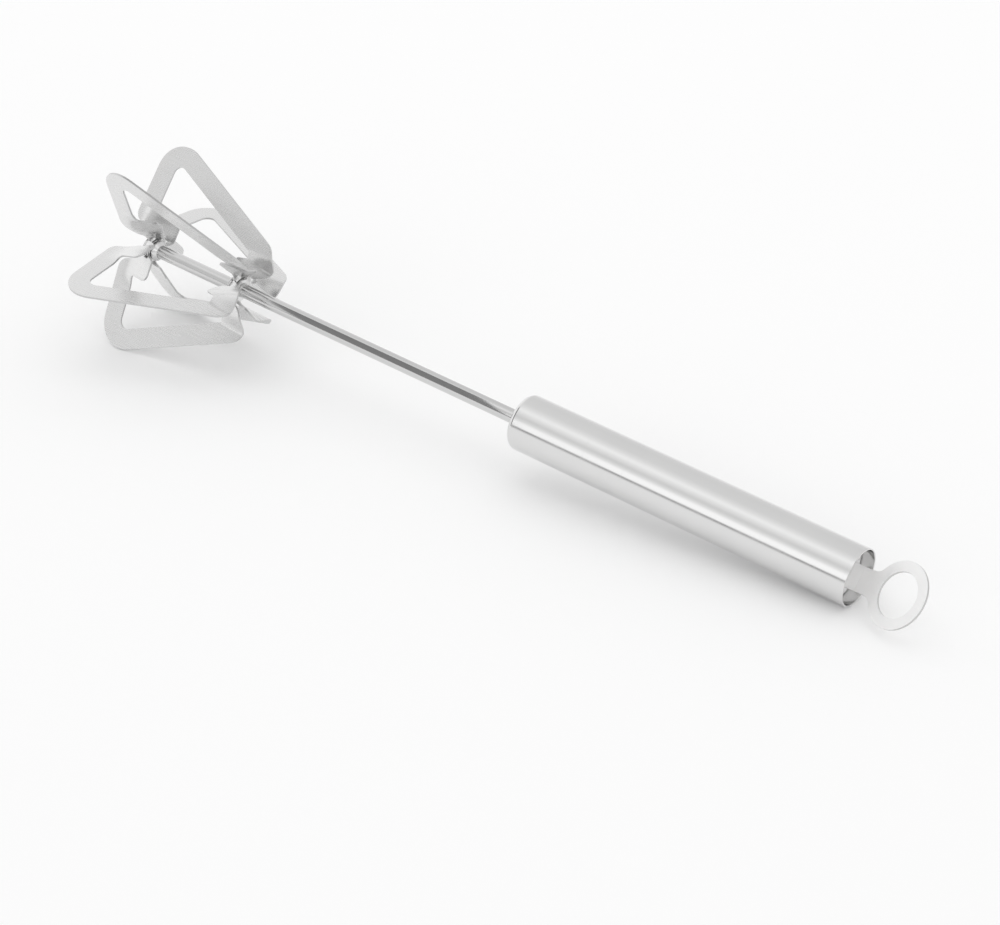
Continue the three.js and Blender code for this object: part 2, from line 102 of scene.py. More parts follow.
HANGER_THICK = 1.0
HANGER_BEND = 24.0
HANGER_FOLD_R = 1.6  # to the middle of the sheet
STEM_WIDTH = 9.4
RING_REACH = 19.1
RING_R = 12.5
RING_HOLE_R = 8.45
RING_NECK_ROUND = 4.0
CREASE_INSET = 0.6
HANGER_OFFSET = 3.3
HANGER_ROLL = 48.6

STRIP_LEAD = 25.0
DRIVE_THICK = 0.9
DRIVE_TAIL_WIDTH = 6.5
DRIVE_TAIL = 8.5
TAIL_OVERLAP = 0.47
TAIL_PROUD = 0.04  # the tail is this much thicker, so that no two faces coincide
DRIVE_GAP = 0.4
DRIVE_ROOM = 0.45
SPRING_TURNS = 13
SPRING_WIRE_R = 0.5

# ---- Fineness ------------------------------------------------------------------------------------
FINE_LATHE = 160
LATHE = 96
ARC_STEP = 9.0  # degrees
RING_STEPS = 48
NECK_COLUMNS = 8  # of the ring's steps
NECK_ROWS = 10
FOLD_CELL = 0.8
SHEET_BEVEL = 0.13
SMALL_BEVEL = 0.12
SLIVER = 0.02  # a cut's leftover edges that are shorter than this are dissolved
FINE_SLIVER = 0.022

# ---- Camera, read off the table's frame ----------------------------------------------------------
CAMERA_AZIMUTH = 37.43
CAMERA_ELEVATION = 30.89
CAMERA_ROLL = 0.0
CAMERA_AIM = Vector((0.02351, -0.02507, 0.01965))
CAMERA_DISTANCE = 0.8872
CAMERA_LENS = 87.97


# ---- Tool frame ----------------------------------------------------------------------------------
def joint(name):
    return next(j for j in frame["joints"] if j["name"] == name)


def tool_matrix():
    """Row frame from tool frame, in metres."""
    x = Vector(joint("spin")["axis"]).normalized()
    y = Vector((0, 1, 0))
    z = x.cross(y).normalized()
    rotation = Matrix((x, y, z)).transposed().to_4x4()
    return Matrix.Translation(Vector(joint("spin")["pos_m"])) @ rotation


TOOL = tool_matrix()
TOOL_INVERSE = TOOL.inverted()


def span(node):
    """A CAD node's x range and radius range in the tool frame, in mm."""
    points = [TOOL_INVERSE @ v.co for v in frame["nodes"][node].data.vertices]
    xs = [p.x / MM for p in points]
    rs = [math.hypot(p.y, p.z) / MM for p in points]
    return min(xs), max(xs), min(rs), max(rs)


# ---- Mesh helpers --------------------------------------------------------------------------------
def arc_points(cx, cy, radius, start, end):
    """Points on an arc between two angles in degrees, ends included."""
    steps = max(1, math.ceil(abs(end - start) / ARC_STEP))
    points = []
    for i in range(steps + 1):
        angle = math.radians(start + (end - start) * i / steps)
        points.append((cx + radius * math.cos(angle), cy + radius * math.sin(angle)))
    return points


def fillet(before, here, after, radius):
    """The arc that rounds the corner at here, as points."""
    if radius <= 0:
        return [tuple(here)]
    back = (Vector(before) - Vector(here)).normalized()
    ahead = (Vector(after) - Vector(here)).normalized()
    half = back.angle(ahead) / 2
    centre = Vector(here) + (back + ahead).normalized() * radius / math.sin(half)
    start = Vector(here) + back * radius / math.tan(half) - centre
    end = Vector(here) + ahead * radius / math.tan(half) - centre
    first = math.degrees(math.atan2(start.y, start.x))
    turn = math.degrees(math.atan2(start.x * end.y - start.y * end.x, start.dot(end)))
    return arc_points(centre.x, centre.y, radius, first, first + turn)


def rounded(corners, closed=True):
    """A 2-D outline from corners (x, y, fillet radius)."""
    count = len(corners)
    points = []
    for i, (x, y, radius) in enumerate(corners):
        if not closed and i in (0, count - 1):
            points.append((x, y))
            continue
        before = corners[i - 1][:2]
        after = corners[(i + 1) % count][:2]
        points += fillet(before, (x, y), after, radius)
    return points


def mesh_object(name, bm, local=Matrix.Identity(4)):
    """An object from a bmesh in tool millimetres; local turns the piece's own frame in the tool's."""
    bmesh.ops.recalc_face_normals(bm, faces=bm.faces)
    bmesh.ops.scale(bm, vec=(MM, MM, MM), verts=bm.verts)
    mesh = bpy.data.meshes.new(name)
    bm.to_mesh(mesh)
    bm.free()
    mesh.polygons.foreach_set("use_smooth", [True] * len(mesh.polygons))
    obj = bpy.data.objects.new(name, mesh)
    bpy.context.scene.collection.objects.link(obj)
    obj.matrix_world = TOOL @ local
    return obj


def apply_modifiers(obj):
    bpy.context.view_layer.update()
    evaluated = obj.evaluated_get(bpy.context.evaluated_depsgraph_get())
    mesh = bpy.data.meshes.new_from_object(evaluated)
    obj.modifiers.clear()
    obj.data = mesh
    return obj


def weigh_normals(obj):
    modifier = obj.modifiers.new("weighted", "WEIGHTED_NORMAL")
    modifier.mode = "FACE_AREA"
    modifier.weight = 80
    modifier.keep_sharp = True


def bevel(obj, width, segments=2, angle=38.0):
    modifier = obj.modifiers.new("bevel", "BEVEL")
    modifier.width = width * MM
    modifier.segments = segments
    modifier.limit_method = "ANGLE"
    modifier.angle_limit = math.radians(angle)
    modifier.miter_outer = "MITER_ARC"


def lathe(bm, profile, steps, closed):
    """Turns a profile of (x, radius) points about the X axis."""
    rings = []
    for x, r in profile:
        if r < 1e-6:
            rings.append([bm.verts.new((x, 0, 0))])
            continue
        ring = []
        for i in range(steps):
            angle = 2 * math.pi * i / steps
            ring.append(bm.verts.new((x, r * math.sin(angle), r * math.cos(angle))))
        rings.append(ring)
    pairs = list(zip(rings, rings[1:]))
    if closed:
        pairs.append((rings[-1], rings[0]))
    for a, b in pairs:
        for i in range(steps):
            j = (i + 1) % steps
            corners = [a[i % len(a)], a[j % len(a)], b[j % len(b)], b[i % len(b)]]
            bm.faces.new(list(dict.fromkeys(corners)))


def turned(name, corners, steps=LATHE, closed=True):
    bm = bmesh.new()
    lathe(bm, rounded(corners, closed), steps, closed)
    obj = mesh_object(name, bm)
    weigh_normals(obj)
    return apply_modifiers(obj)


def washer(name, node, edge, steps=LATHE):
    """A ring with softly rounded edges, as wide and thick as its CAD node."""
    x0, x1, inner, outer = span(node)
    corners = [(x0, inner, edge), (x1, inner, edge), (x1, outer, edge), (x0, outer, edge)]
    return turned(name, corners, steps)


def grid(bm, rows):
    """Faces between rows of points; rows with the same point at both ends stay open."""
    made = [[bm.verts.new(p) for p in row] for row in rows]
    for lower, upper in zip(made, made[1:]):
        for i in range(len(lower) - 1):
            bm.faces.new((lower[i], lower[i + 1], upper[i + 1], upper[i]))
    return made


def slice_mesh(bm, axis, places):
    """Cuts all faces along planes across one axis."""
    normal = Vector((0, 0, 0))
    normal[axis] = 1
    for place in places:
        geometry = bm.verts[:] + bm.edges[:] + bm.faces[:]
        bmesh.ops.bisect_plane(bm, geom=geometry, dist=1e-5, plane_co=normal * place, plane_no=normal)


def stepped(start, end, size):
    count = max(1, round((end - start) / size))
    return [start + (end - start) * i / count for i in range(count + 1)]


def smoothstep(x, low, high):
    t = min(max((x - low) / (high - low), 0.0), 1.0)
    return t * t * (3 - 2 * t)


def meet(a, u, b, v):
    """Where the line through a along u meets the line through b along v."""
    difference = b - a
    t = (difference.x * v.y - difference.y * v.x) / (u.x * v.y - u.y * v.x)
    return a + u * t


# ---- Blades --------------------------------------------------------------------------------------
def neck_places(hub_x, width):
    return [hub_x + width * (i / NECK_COLUMNS - 0.5) for i in range(NECK_COLUMNS + 1)]


def loop_outline():
    """One loop's outline as (x, radius) points. Its lower edge has a point at each neck column."""
    foot = Vector((FOOT_X, BASE_R))
    apex = Vector((APEX_X, APEX_R))
    end = Vector((REAR_HUB_X + END_OVERHANG, END_R))
    side = (apex - foot).normalized()
    back = (end - apex).normalized()
    side_inner = foot + Vector((side.y, -side.x)) * STRIP_WIDTH
    back_inner = apex + Vector((back.y, -back.x)) * STRIP_WIDTH
    inner_apex = meet(side_inner, side, back_inner, back)
    stub_top = BASE_R + TIP_STUB_HEIGHT
    inner_foot = meet(side_inner, side, Vector((0, stub_top)), Vector((1, 0)))
    inner_end_x = end.x - END_BAND
    inner_end = meet(back_inner, back, Vector((inner_end_x, 0)), Vector((0, 1)))
    end_round = END_ROUND_SHARE * (END_R - BASE_R)
    rear_top = BASE_R + REAR_STUB_HEIGHT
    tip_columns = neck_places(0, TIP_NECK_WIDTH)
    rear_columns = neck_places(REAR_HUB_X, REAR_NECK_WIDTH)
    corners = [
        (end.x, end.y, end_round),
        (apex.x, apex.y, APEX_ROUND),
        (foot.x, FOOT_R, STRIP_WIDTH / 2),
        *[(x, NECK_R, 0) for x in tip_columns],
        (TIP_STUB_REACH, stub_top, STUB_ROUND),
        (inner_foot.x, inner_foot.y, INNER_ROUND),
        (inner_apex.x, inner_apex.y, APEX_ROUND - STRIP_WIDTH),
        (inner_end.x, inner_end.y, INNER_ROUND),
        (inner_end_x, rear_top, INNER_ROUND),
        (REAR_HUB_X - REAR_STUB_REACH, rear_top - INNER_ROUND, SMALL_ROUND),
        *[(x, BASE_R, 0) for x in rear_columns],
        (end.x, BASE_R, end_round),
    ]
    return rounded(corners)


def folded(x, r, lean):
    """Where a point of the flat loop goes: its stubs are folded, and the loop leans about the shaft."""
    degrees, x0, x1, r0, r1 = TIP_FOLD if x < FOLD_BORDER_X else REAR_FOLD
    into = min(max(x - x0, 0), x1 - x0)
    run = into**2 / (2 * (x1 - x0)) + max(x - x1, 0)
    rise = math.tan(math.radians(degrees)) * run * (1 - smoothstep(r, r0, r1))
    turn = Matrix.Rotation(math.radians(lean) * smoothstep(r, HUB_R, LEAN_TOP), 3, "X")
    return turn @ Vector((x, rise, r))


def loop_plate(bm, lean):
    verts = [bm.verts.new((x, 0, r)) for x, r in loop_outline()]
    bm.faces.new(verts)
    slice_mesh(bm, 2, stepped(BASE_R, FOLD_TOP, FOLD_CELL)[1:])
    tip = neck_places(0, TIP_NECK_WIDTH)
    rear = neck_places(REAR_HUB_X, REAR_NECK_WIDTH)
    slice_mesh(bm, 0, stepped(FOOT_X, tip[0], FOLD_CELL)[:-1] + tip)
    slice_mesh(bm, 0, stepped(REAR_FOLD[1], rear[0], FOLD_CELL)[:-1] + rear)
    slice_mesh(bm, 0, stepped(rear[-1], REAR_HUB_X + END_OVERHANG, 2 * FOLD_CELL)[1:])
    for vert in bm.verts:
        vert.co = folded(vert.co.x, vert.co.z, lean)


def neck(bm, hub_x, ring_x, width, base_r, lean):
    """A curved sheet from the ring's rim to the loop's lower edge."""
    base = [folded(x, base_r, lean) for x in neck_places(hub_x, width)]
    above = [folded(x, base_r + FOLD_CELL, lean) for x in neck_places(hub_x, width)]
    middle = base[NECK_COLUMNS // 2]
    turn = math.atan2(middle.y, middle.z)
    step = 2 * math.pi / RING_STEPS
    columns = []
    for k, (foot, higher) in enumerate(zip(base, above)):
        phi = ring_clock(turn) + (k - NECK_COLUMNS / 2) * step
        outward = Vector((0, math.sin(phi), math.cos(phi)))
        rim = Vector((ring_x, 0, 0)) + outward * HUB_R
        reach = (foot - rim).length
        rise = (higher - foot).normalized()
        columns.append((rim, outward * reach, foot, rise * reach))
    rows = []
    for j in range(NECK_ROWS + 1):
        t = j / NECK_ROWS
        rows.append([hermite(*column, t) for column in columns])
    grid(bm, rows)


def ring_clock(turn):
    """The nearest of the ring's steps to an angle."""
    step = 2 * math.pi / RING_STEPS
    return round(turn / step) * step


def hermite(a, u, b, v, t):
    return (
        a * (2 * t**3 - 3 * t**2 + 1)
        + u * (t**3 - 2 * t**2 + t)
        + b * (3 * t**2 - 2 * t**3)
        + v * (t**3 - t**2)
    )


def hub_ring(bm, x):
    rows = []
    for r in (HUB_HOLE_R, HUB_R):
        row = []
        for i in range(RING_STEPS + 1):
            angle = 2 * math.pi * i / RING_STEPS
            row.append(Vector((x, r * math.sin(angle), r * math.cos(angle))))
        rows.append(row)
    grid(bm, rows)


def one_loop(bm, offset, lean):
    """A loop above the shaft with both its necks, made apart and then added."""
    part = bmesh.new()
    loop_plate(part, lean)
    neck(part, 0, offset, TIP_NECK_WIDTH, NECK_R, lean)
    neck(part, REAR_HUB_X, REAR_HUB_X + offset, REAR_NECK_WIDTH, BASE_R, lean)
    mesh = bpy.data.meshes.new("part")
    part.to_mesh(mesh)
    part.free()
    bm.from_mesh(mesh)
    bpy.data.meshes.remove(mesh)


def hub_collar(name, node):
    """A collar that is tight on the shaft and tapers towards the handle, so that it hides its step."""
    x0, x1, _, outer = span(node)
    bore = span("shaft_tube")[3]
    lip = bore + COLLAR_LIP
    shoulder = x0 + COLLAR_SHOULDER * (x1 - x0)
    corners = [
        (x0, bore, 0),
        (x0, outer, 0.25),
        (shoulder, outer, 0.4),
        (x1, lip, 0.1),
        (x1, bore, 0),
    ]
    return turned(name, corners)


def double_blade(layer, materials):
    """Two opposite loops of one stamping with their two hub rings, as one folded sheet."""
    offset = (layer - (BLADE_PAIRS - 1) / 2) * HUB_PITCH
    bm = bmesh.new()
    one_loop(bm, offset, 0)
    bmesh.ops.rotate(bm, cent=(0, 0, 0), matrix=Matrix.Rotation(math.pi, 3, "X"), verts=bm.verts)
    one_loop(bm, offset, LEANS.get(layer, 0))
    hub_ring(bm, offset)
    hub_ring(bm, REAR_HUB_X + offset)
    bmesh.ops.remove_doubles(bm, verts=bm.verts, dist=1e-3)
    turn = Matrix.Rotation(math.pi / 2 - layer * math.pi / BLADE_PAIRS, 4, "X")
    obj = mesh_object(f"blade_sheet_{layer + 1}", bm, turn)
    thicken(obj, BLADE_THICK, materials)
    return obj


def thicken(obj, thickness, materials):
    """Gives a sheet its thickness, its softly rounded sheared edges and an edge material."""
    for material in materials:
        obj.data.materials.append(material)
    solidify = obj.modifiers.new("sheet", "SOLIDIFY")
    solidify.thickness = thickness * MM
    solidify.offset = 0
    solidify.use_even_offset = True
    solidify.use_quality_normals = True
    solidify.material_offset_rim = 1
    bevel(obj, SHEET_BEVEL)
    weigh_normals(obj)
    apply_modifiers(obj)


# ---- Hanger --------------------------------------------------------------------------------------
def hanger_outline():
    """The hanger drawn flat: x along it from the fold's middle, y across it."""
    stem_x = span("hanger_plate")[0] - (span("handle_tube")[1] - CREASE_INSET)
    half = STEM_WIDTH / 2
    fillet_y = half + RING_NECK_ROUND
    fillet_x = RING_REACH - math.sqrt((RING_R + RING_NECK_ROUND) ** 2 - fillet_y**2)
    touch = math.degrees(math.atan2(fillet_y, fillet_x - RING_REACH))
    upper = arc_points(fillet_x, fillet_y, RING_NECK_ROUND, touch - 180, -90)
    lower = [(x, -y) for x, y in reversed(upper)]
    ring = arc_points(RING_REACH, 0, RING_R, -touch, touch)[1:-1]
    stem_corners = [
        (upper[-1][0], half, 0),
        (stem_x, half, 1),
        (stem_x, -half, 1),
        (lower[0][0], -half, 0),
    ]
    stem = rounded(stem_corners, False)
    return stem[1:-1] + lower + ring + upper


def bent(x, y):
    """A point of the flat hanger on the bent one, in mm from the fold's middle."""
    bend = math.radians(HANGER_BEND)
    half = HANGER_FOLD_R * bend / 2
    if x < -half:
        return Vector((x, y, 0))
    reach = HANGER_FOLD_R * math.tan(bend / 2)
    if x > half:
        far = x - half + reach
        return Vector((far * math.cos(bend), y, far * math.sin(bend)))
    angle = (x + half) / HANGER_FOLD_R
    return Vector((-reach + HANGER_FOLD_R * math.sin(angle), y, HANGER_FOLD_R * (1 - math.cos(angle))))


def hanger_plate(materials):
    bm = bmesh.new()
    loops = [hanger_outline(), arc_points(RING_REACH, 0, RING_HOLE_R, 0, 360)[:-1]]
    edges = []
    for loop in loops:
        verts = [bm.verts.new((x, y, 0)) for x, y in loop]
        edges += [bm.edges.new((a, b)) for a, b in zip(verts, verts[1:] + verts[:1])]
    bmesh.ops.triangle_fill(bm, edges=edges, use_beauty=True)
    flat = math.radians(1)
    bmesh.ops.dissolve_limit(bm, angle_limit=flat, verts=bm.verts, edges=bm.edges)
    half = HANGER_FOLD_R * math.radians(HANGER_BEND) / 2
    slice_mesh(bm, 0, stepped(-half, half, half / 4))
    for vert in bm.verts:
        vert.co = bent(vert.co.x, vert.co.y)
    crease = Vector((span("handle_tube")[1] - CREASE_INSET, 0, -HANGER_OFFSET))
    bmesh.ops.translate(bm, vec=crease, verts=bm.verts)
    obj = mesh_object("hanging_plate", bm, Matrix.Rotation(math.radians(HANGER_ROLL), 4, "X"))
    thicken(obj, HANGER_THICK, materials)
    return obj


# ---- Handle --------------------------------------------------------------------------------------
NOSE_ROUND = 2.4
RIM_ROUND = 0.22


def handle_tube():
    """The tube with its turned-in front edge and its deburred rear rim."""
    x0, x1, nose_r, outer = span("handle_tube")
    wall = outer - span("nose_bush")[3] - 0.3
    inner = outer - wall
    corners = [
        (x0, nose_r, RIM_ROUND),
        (x0, outer, NOSE_ROUND),
        (x1, outer, RIM_ROUND),
        (x1, inner, RIM_ROUND),
        (x0 + wall, inner, NOSE_ROUND - wall),
        (x0 + wall, nose_r, RIM_ROUND),
    ]
    return turned("handle_shell", corners, FINE_LATHE)


def nose_bush():
    x0, x1, bore, outer = span("nose_bush")
    nose_r = span("handle_tube")[2] - 0.3
    face = x0 + 0.9
    slope = NOSE_ROUND - 0.6
    corners = [
        (x0, bore, 0.4),
        (x0, nose_r, 0.35),
        (face, nose_r, 0),
        (face, outer - slope, 0.3),
        (face + slope, outer, 0.5),
        (x1, outer, 0.3),
        (x1, bore, 0.3),
    ]
    return turned("guide_bush", corners, FINE_LATHE)


def spring_cup():
    x0, x1, bore, outer = span("spring_cup")
    flange = x0 + 2.4
    corners = [
        (x0, bore, 0.2),
        (x0, outer, 0.3),
        (flange, outer, 0.3),
        (flange, 5.0, 0.25),
        (x1, 5.0, 0.6),
        (x1, bore, 0.2),
    ]
    return turned("seat_cup", corners)


def rivet():
    x0, x1, _, head_r = span("tip_rivet")
    face = x0 + 1.4
    stem_r = span("shaft_tube")[2] - 0.3
    dome = [(face + (x0 - face) * math.sin(a), head_r * math.cos(a), 0) for a in quarter_turn(14)]
    corners = list(reversed(dome)) + [(face + 0.01, stem_r, 0), (x1, stem_r, 0.4), (x1, 0, 0)]
    return turned("tip_rivet_head", corners, LATHE, closed=False)


def quarter_turn(steps):
    return [math.pi / 2 * i / steps for i in range(steps + 1)]


def pin():
    x0, x1, _, reach = span("anchor_pin")
    middle = (x0 + x1) / 2
    radius = (x1 - x0) / 2
    corners = [(-reach, 0, 0), (-reach, radius, 0.3), (reach, radius, 0.3), (reach, 0, 0)]
    bm = bmesh.new()
    lathe(bm, rounded(corners, False), 48, False)
    bmesh.ops.rotate(bm, cent=(0, 0, 0), matrix=Matrix.Rotation(math.pi / 2, 3, "Y"), verts=bm.verts)
    bmesh.ops.translate(bm, vec=(middle, 0, 0), verts=bm.verts)
    obj = mesh_object("cross_pin", bm, Matrix.Rotation(math.radians(HANGER_ROLL), 4, "X"))
    weigh_normals(obj)
    return apply_modifiers(obj)


def box_mesh(bm, x0, x1, width, height, z=0.0):
    made = bmesh.ops.create_cube(bm, size=1)["verts"]
    bmesh.ops.scale(bm, vec=(x1 - x0, width, height), verts=made)
    bmesh.ops.translate(bm, vec=((x0 + x1) / 2, 0, z), verts=made)


def without_slivers(obj, length):
    """Dissolves the tiny edges that a cut or bevel leaves, so that the mesh stays a plain closed solid."""
    bm = bmesh.new()
    bm.from_mesh(obj.data)
    bmesh.ops.remove_doubles(bm, verts=bm.verts, dist=length * MM)
    bmesh.ops.dissolve_degenerate(bm, dist=length * MM, edges=bm.edges)
    bm.to_mesh(obj.data)
    bm.free()


def finish_cut(obj, bevelled=True):
    """The bevel and the normals of a piece made by cuts."""
    if bevelled:
        bevel(obj, SMALL_BEVEL)
        apply_modifiers(obj)
        without_slivers(obj, FINE_SLIVER)
    weigh_normals(obj)
    return apply_modifiers(obj)


def combine(obj, bm, operation):
    """Cuts a bmesh out of an object or joins it on; it is in tool millimetres in the object's frame."""
    bmesh.ops.recalc_face_normals(bm, faces=bm.faces)
    bmesh.ops.scale(bm, vec=(MM, MM, MM), verts=bm.verts)
    mesh = bpy.data.meshes.new("other")
    bm.to_mesh(mesh)
    bm.free()
    other = bpy.data.objects.new("other", mesh)
    bpy.context.scene.collection.objects.link(other)
    other.matrix_world = obj.matrix_world
    modifier = obj.modifiers.new("combine", "BOOLEAN")
    modifier.operation = operation
    modifier.solver = "EXACT"
    modifier.object = other
    apply_modifiers(obj)
    without_slivers(obj, SLIVER)
    bpy.data.objects.remove(other)


def cut(obj, bm):
    combine(obj, bm, "DIFFERENCE")


def end_plug():
    """The recessed plug with the stem's slot in its rear face and the drive strip's in its front."""
    x0, x1, _, outer = span("end_plug")
    bm = bmesh.new()
    corners = [(x0, 0, 0), (x0, outer, 0.6), (x1, outer, 0.8), (x1, 0, 0)]
    lathe(bm, rounded(corners, False), 128, False)
    obj = mesh_object("rear_plug", bm, Matrix.Rotation(math.radians(HANGER_ROLL), 4, "X"))
    slots = bmesh.new()
    box_mesh(slots, x0 - 1, x0 + DRIVE_TAIL + 0.3, DRIVE_TAIL_WIDTH + 0.6, DRIVE_THICK + 0.6)
    cut(obj, slots)
    slots = bmesh.new()
    stem_x = span("hanger_plate")[0]
    box_mesh(slots, stem_x - 0.3, x1 + 1, STEM_WIDTH + 0.6, HANGER_THICK + 0.6, -HANGER_OFFSET)
    cut(obj, slots)
    bore = bmesh.new()
    pin0, pin1, _, _ = span("anchor_pin")
    radius = (pin1 - pin0) / 2 + 0.3
    made = bmesh.ops.create_cone(
        bore, cap_ends=True, segments=48, radius1=radius, radius2=radius, depth=30
    )["verts"]
    bmesh.ops.translate(bore, vec=((pin0 + pin1) / 2, 0, 0), verts=made)
    cut(obj, bore)
    return finish_cut(obj)


# ---- Drive ---------------------------------------------------------------------------------------
def helix_angle(x):
    """The drive strip's angle about the axis where it passes x, in the rear end's frame."""
    return 2 * math.pi * (x - span("end_plug")[0]) / STRIP_LEAD


def strip_section(x, width, thickness, edge):
    """A rounded rectangle across the axis at x, as points in a loop."""
    corners = []
    for a, b in ((1, 1), (-1, 1), (-1, -1), (1, -1)):
        corners.append((a * width / 2, b * thickness / 2, edge))
    angle = helix_angle(x)
    u = Vector((0, math.cos(angle), math.sin(angle)))
    v = Vector((0, -math.sin(angle), math.cos(angle)))
    return [Vector((x, 0, 0)) + u * a + v * b for a, b in rounded(corners)]


def swept(bm, sections):
    """A closed solid through loops of points."""
    made = [[bm.verts.new(p) for p in section] for section in sections]
    for lower, upper in zip(made, made[1:]):
        for i in range(len(lower)):
            j = (i + 1) % len(lower)
            bm.faces.new((lower[i], lower[j], upper[j], upper[i]))
    bm.faces.new(made[0])
    bm.faces.new(made[-1])


def drive_strip():
    x0 = span("drive_strip")[0]
    plug_x = span("end_plug")[0]
    tail_x = plug_x + DRIVE_TAIL
    width = 2 * (span("shaft_tube")[2] - DRIVE_ROOM)
    bm = bmesh.new()
    sections = [strip_section(x, width, DRIVE_THICK, 0.2) for x in stepped(x0, plug_x, 0.4)]
    swept(bm, sections)
    obj = mesh_object("twist_strip", bm, Matrix.Rotation(math.radians(HANGER_ROLL), 4, "X"))
    tail = bmesh.new()
    box_mesh(tail, plug_x - TAIL_OVERLAP, tail_x, DRIVE_TAIL_WIDTH, DRIVE_THICK + TAIL_PROUD)
    combine(obj, tail, "UNION")
    bore = bmesh.new()
    pin0, pin1, _, _ = span("anchor_pin")
    radius = (pin1 - pin0) / 2 + 0.3
    made = bmesh.ops.create_cone(
        bore, cap_ends=True, segments=32, radius1=radius, radius2=radius, depth=30
    )["verts"]
    bmesh.ops.translate(bore, vec=((pin0 + pin1) / 2, 0, 0), verts=made)
    cut(obj, bore)
    return finish_cut(obj, bevelled=False)


def drive_nut():
    """A round nut with a socket for the shaft and a twisted slot for the strip."""
    x0, x1, _, outer = span("drive_nut")
    socket_r = span("shaft_tube")[3] + 0.3
    web = x0 + 6.0
    corners = [
        (web, 0, 0),
        (web, socket_r, 0.2),
        (x0, socket_r, 0.3),
        (x0, outer, 0.6),
        (x1, outer, 0.5),
        (x1, 0, 0),
    ]
    bm = bmesh.new()
    lathe(bm, rounded(corners, False), LATHE, False)
    obj = mesh_object("twist_nut", bm, Matrix.Rotation(math.radians(HANGER_ROLL), 4, "X"))
    slot = bmesh.new()
    width = 2 * (span("shaft_tube")[2] - DRIVE_ROOM + DRIVE_GAP)
    thickness = DRIVE_THICK + 2 * DRIVE_GAP
    swept(slot, [strip_section(x, width, thickness, 0.2) for x in stepped(web - 1, x1 + 1, 0.4)])
    cut(obj, slot)
    return finish_cut(obj)


def return_spring():
    """Round wire in a helix whose first and last turns are closed up."""
    x0, x1, _, outer = span("return_spring")
    radius = outer - SPRING_WIRE_R
    start = x0 + SPRING_WIRE_R
    length = x1 - x0 - 2 * SPRING_WIRE_R
    closed_pitch = 2 * SPRING_WIRE_R + 0.3
    steps = SPRING_TURNS * 40
    rows = []
    for i in range(steps + 1):
        turn = SPRING_TURNS * i / steps
        first = min(turn, 1) * closed_pitch
        last = max(turn - SPRING_TURNS + 1, 0) * closed_pitch
        open_share = min(max((turn - 1) / (SPRING_TURNS - 2), 0), 1)
        x = start + first + last + open_share * (length - 2 * closed_pitch)
        angle = 2 * math.pi * turn
        out = Vector((0, math.cos(angle), math.sin(angle)))
        middle = Vector((x, 0, 0)) + out * radius
        rows.append([middle + wire_point(out, k) for k in range(12)])
    bm = bmesh.new()
    swept(bm, rows)
    return mesh_object("push_spring", bm)


def wire_point(out, k):
    angle = 2 * math.pi * k / 12
    return (out * math.cos(angle) + Vector((1, 0, 0)) * math.sin(angle)) * SPRING_WIRE_R


# ---- Materials -----------------------------------------------------------------------------------
class Nodes:
    """A small helper that adds and links shader nodes."""

    def __init__(self, name):
        self.material = bpy.data.materials.new(name)
        self.material.use_nodes = True
        self.tree = self.material.node_tree
        self.shader = next(n for n in self.tree.nodes if n.type == "BSDF_PRINCIPLED")

    def add(self, kind, **settings):
        node = self.tree.nodes.new(kind)
        for key, value in settings.items():
            setattr(node, key, value)
        return node

    def link(self, a, b):
        self.tree.links.new(a, b)

    def coordinates(self, scale):
        """The piece's own coordinates, stretched by a scale per axis."""
        source = self.add("ShaderNodeTexCoord")
        mapping = self.add("ShaderNodeMapping")
        mapping.inputs["Scale"].default_value = scale
        self.link(source.outputs["Object"], mapping.inputs["Vector"])
        return mapping.outputs["Vector"]

    def noise(self, scale, detail=3.0, roughness=0.55):
        node = self.add("ShaderNodeTexNoise")
        node.inputs["Scale"].default_value = 1.0
        node.inputs["Detail"].default_value = detail
        node.inputs["Roughness"].default_value = roughness
        self.link(self.coordinates(scale), node.inputs["Vector"])
        return node.outputs["Fac"]

    def spread(self, value, low, high, from_low=0.3, from_high=0.7):
        node = self.add("ShaderNodeMapRange")
        node.inputs["From Min"].default_value = from_low
        node.inputs["From Max"].default_value = from_high
        node.inputs["To Min"].default_value = low
        node.inputs["To Max"].default_value = high
        self.link(value, node.inputs["Value"])
        return node.outputs["Result"]

    def math(self, operation, a, b):
        node = self.add("ShaderNodeMath", operation=operation)
        for socket, value in zip(node.inputs, (a, b)):
            if isinstance(value, (int, float)):
                socket.default_value = value
            else:
                self.link(value, socket)
        return node.outputs["Value"]

    def tint(self, factor, dark, light):
        node = self.add("ShaderNodeMix", data_type="RGBA")
        node.inputs[6].default_value = (*dark, 1)
        node.inputs[7].default_value = (*light, 1)
        self.link(factor, node.inputs[0])
        return node.outputs[2]

    def bump(self, height, strength, distance):
        node = self.add("ShaderNodeBump")
        node.inputs["Strength"].default_value = strength
        node.inputs["Distance"].default_value = distance
        self.link(height, node.inputs["Height"])
        self.link(node.outputs["Normal"], self.shader.inputs["Normal"])


def grey(level, warmth=0.0):
    return (level * (1 + warmth), level, level * (1 - warmth))


